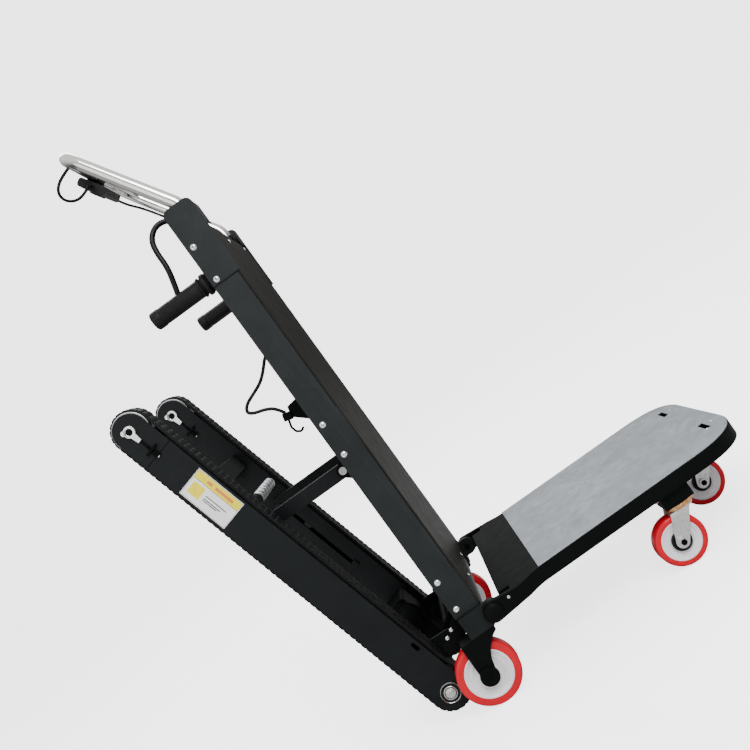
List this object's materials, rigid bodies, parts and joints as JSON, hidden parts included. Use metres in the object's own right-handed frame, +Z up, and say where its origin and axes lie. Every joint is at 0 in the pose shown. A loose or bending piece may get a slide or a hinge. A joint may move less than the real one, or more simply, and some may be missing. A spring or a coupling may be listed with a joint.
{
  "type": "crawler hand truck",
  "caption": "Powered stair climbing hand truck with rubber crawler tracks behind a tall mast, a bent push handle, a folding load deck, main wheels and swivel casters.",
  "frame": {"origin": "under the middle of the machine, on the floor that the wheels stand on", "axes": "+X from the mast towards the tip of the load deck, +Y to the far side, +Z up the mast"},
  "size_m": [0.981, 0.498, 1.324],
  "materials": {
    "frame_paint": "dark grey green powder coat, satin",
    "cover_paint": "dark brown grey powder coat, satin",
    "foot_paint": "mid grey green powder coat",
    "track_paint": "black grey powder coat, satin",
    "black_metal": "black enamel",
    "stainless": "polished stainless tube",
    "zinc_screws": "bright zinc plating",
    "zinc_plate": "zinc plated pressed steel",
    "yellow_zinc": "yellow zinc plating",
    "galvanised": "galvanised sheet, scuffed",
    "belt_rubber": "black ribbed rubber",
    "grip_rubber": "black moulded rubber",
    "cable_jacket": "black soft jacket",
    "wheel_red": "red polyurethane",
    "wheel_white": "white polypropylene",
    "black_plastic": "black moulded plastic",
    "battery_case": "dark blue battery case",
    "cast_aluminium": "cast aluminium"
  },
  "bodies": {
    "mast": {"side_rails": "frame_paint", "front_cover": "cover_paint", "rear_panel": "frame_paint", "top_cap": "frame_paint", "cheek_plates": "frame_paint", "mast_crossbars": "frame_paint", "mast_screws": "zinc_screws", "foot_blocks": "foot_paint", "wheel_forks": "black_metal", "push_handle": "stainless", "control_box": "black_plastic", "grip_stubs": "black_metal", "hand_grips": "grip_rubber", "handle_loop": "cable_jacket", "handle_cable": "cable_jacket", "upper_cable": "cable_jacket", "lower_cable": "cable_jacket", "plug_bracket": "black_metal", "battery_pack": "battery_case", "motor_controller": "cast_aluminium", "track_pivot": "black_metal", "strut_mount": "black_metal"},
    "switch": {"rocker_switch": "black_plastic"},
    "main_wheel_near": {"main_hub_near": "wheel_white", "main_tyre_near": "wheel_red"},
    "main_wheel_far": {"main_hub_far": "wheel_white", "main_tyre_far": "wheel_red"},
    "strut": {"strut_arms": "track_paint", "strut_pins": "stainless"},
    "track_frame": {"track_outer_plates": "track_paint", "track_end_covers": "track_paint", "track_inner_plates": "track_paint", "track_belts": "belt_rubber", "belt_guides": "black_plastic", "drive_bearings": "zinc_plate", "tension_adjusters": "zinc_screws", "adjuster_brackets": "black_metal", "cross_tube": "track_paint", "ribbed_shaft": "cast_aluminium", "gearbox": "black_metal", "drive_motor": "black_metal"},
    "slider": {"slider_blocks": "zinc_plate"},
    "drive": {"drive_shaft": "zinc_plate"},
    "idler_near": {"idler_near": "cast_aluminium"},
    "idler_far": {"idler_far": "cast_aluminium"},
    "deck": {"deck_frame": "black_metal", "deck_plate": "galvanised", "deck_crossbars": "black_metal", "deck_pins": "black_metal", "caster_plates": "black_metal", "caster_races": "yellow_zinc"},
    "caster_near": {"caster_fork_near": "zinc_plate"},
    "caster_wheel_near": {"caster_hub_near": "wheel_white", "caster_tyre_near": "wheel_red"},
    "caster_far": {"caster_fork_far": "zinc_plate"},
    "caster_wheel_far": {"caster_hub_far": "wheel_white", "caster_tyre_far": "wheel_red"},
    "caster_front": {"caster_fork_front": "zinc_plate"},
    "caster_wheel_front": {"caster_hub_front": "wheel_white", "caster_tyre_front": "wheel_red"}
  },
  "joints": [
    {"name": "platform_fold", "type": "hinge", "parent": "mast", "child": "deck", "pos_m": [-0.0855, 0, 0.16], "axis": [0, -1, 0], "range_deg": [0, 78]},
    {"name": "wheel_spin_near", "type": "hinge", "parent": "mast", "child": "main_wheel_near", "pos_m": [-0.1615, -0.205, 0.0625], "axis": [0, 1, 0], "continuous": true},
    {"name": "wheel_spin_far", "type": "hinge", "parent": "mast", "child": "main_wheel_far", "pos_m": [-0.1615, 0.205, 0.0625], "axis": [0, 1, 0], "continuous": true},
    {"name": "track_fold", "type": "hinge", "parent": "mast", "child": "track_frame", "pos_m": [-0.1945, 0, 0.128], "axis": [0, 1, 0], "range_deg": [0, 14.8]},
    {"name": "strut_swing", "type": "hinge", "parent": "mast", "child": "strut", "pos_m": [-0.1755, 0, 0.517], "axis": [0, -1, 0], "range_deg": [0, 62.78]},
    {"name": "strut_slide", "type": "slide", "parent": "track_frame", "child": "slider", "axis": [0.2554, 0, -0.9668], "range_m": [0, 0.19986]},
    {"name": "drive_spin", "type": "hinge", "parent": "track_frame", "child": "drive", "pos_m": [-0.248, 0, 0.0595], "axis": [0, 1, 0], "continuous": true},
    {"name": "idler_spin_near", "type": "hinge", "parent": "track_frame", "child": "idler_near", "pos_m": [-0.4485, -0.151, 0.8186], "axis": [0, 1, 0], "continuous": true},
    {"name": "idler_spin_far", "type": "hinge", "parent": "track_frame", "child": "idler_far", "pos_m": [-0.4485, 0.151, 0.8186], "axis": [0, 1, 0], "continuous": true},
    {"name": "switch_press", "type": "slide", "parent": "mast", "child": "switch", "axis": [0.8426, 0, 0.5385], "range_m": [0, 0.002], "stiffness_N_per_m": 400},
    {"name": "caster_swivel_near", "type": "hinge", "parent": "deck", "child": "caster_near", "pos_m": [0.3115, -0.18, 0.105], "axis": [0, 0, 1], "continuous": true},
    {"name": "caster_spin_near", "type": "hinge", "parent": "caster_near", "child": "caster_wheel_near", "pos_m": [0.2745, -0.18, 0.05], "axis": [0, 1, 0], "continuous": true},
    {"name": "caster_swivel_far", "type": "hinge", "parent": "deck", "child": "caster_far", "pos_m": [0.3115, 0.18, 0.105], "axis": [0, 0, 1], "continuous": true},
    {"name": "caster_spin_far", "type": "hinge", "parent": "caster_far", "child": "caster_wheel_far", "pos_m": [0.2745, 0.18, 0.05], "axis": [0, 1, 0], "continuous": true},
    {"name": "caster_swivel_front", "type": "hinge", "parent": "deck", "child": "caster_front", "pos_m": [0.4445, 0, 0.105], "axis": [0, 0, 1], "continuous": true},
    {"name": "caster_spin_front", "type": "hinge", "parent": "caster_front", "child": "caster_wheel_front", "pos_m": [0.4075, 0, 0.05], "axis": [0, 1, 0], "continuous": true}
  ],
  "couplings": [
    {"joint": "strut_swing", "follows": "track_fold", "ratio": 4.2396},
    {"joint": "strut_slide", "follows": "track_fold", "m_per_rad": 0.77278},
    {"joint": "idler_spin_near", "follows": "drive_spin", "ratio": 1},
    {"joint": "idler_spin_far", "follows": "drive_spin", "ratio": 1}
  ]
}
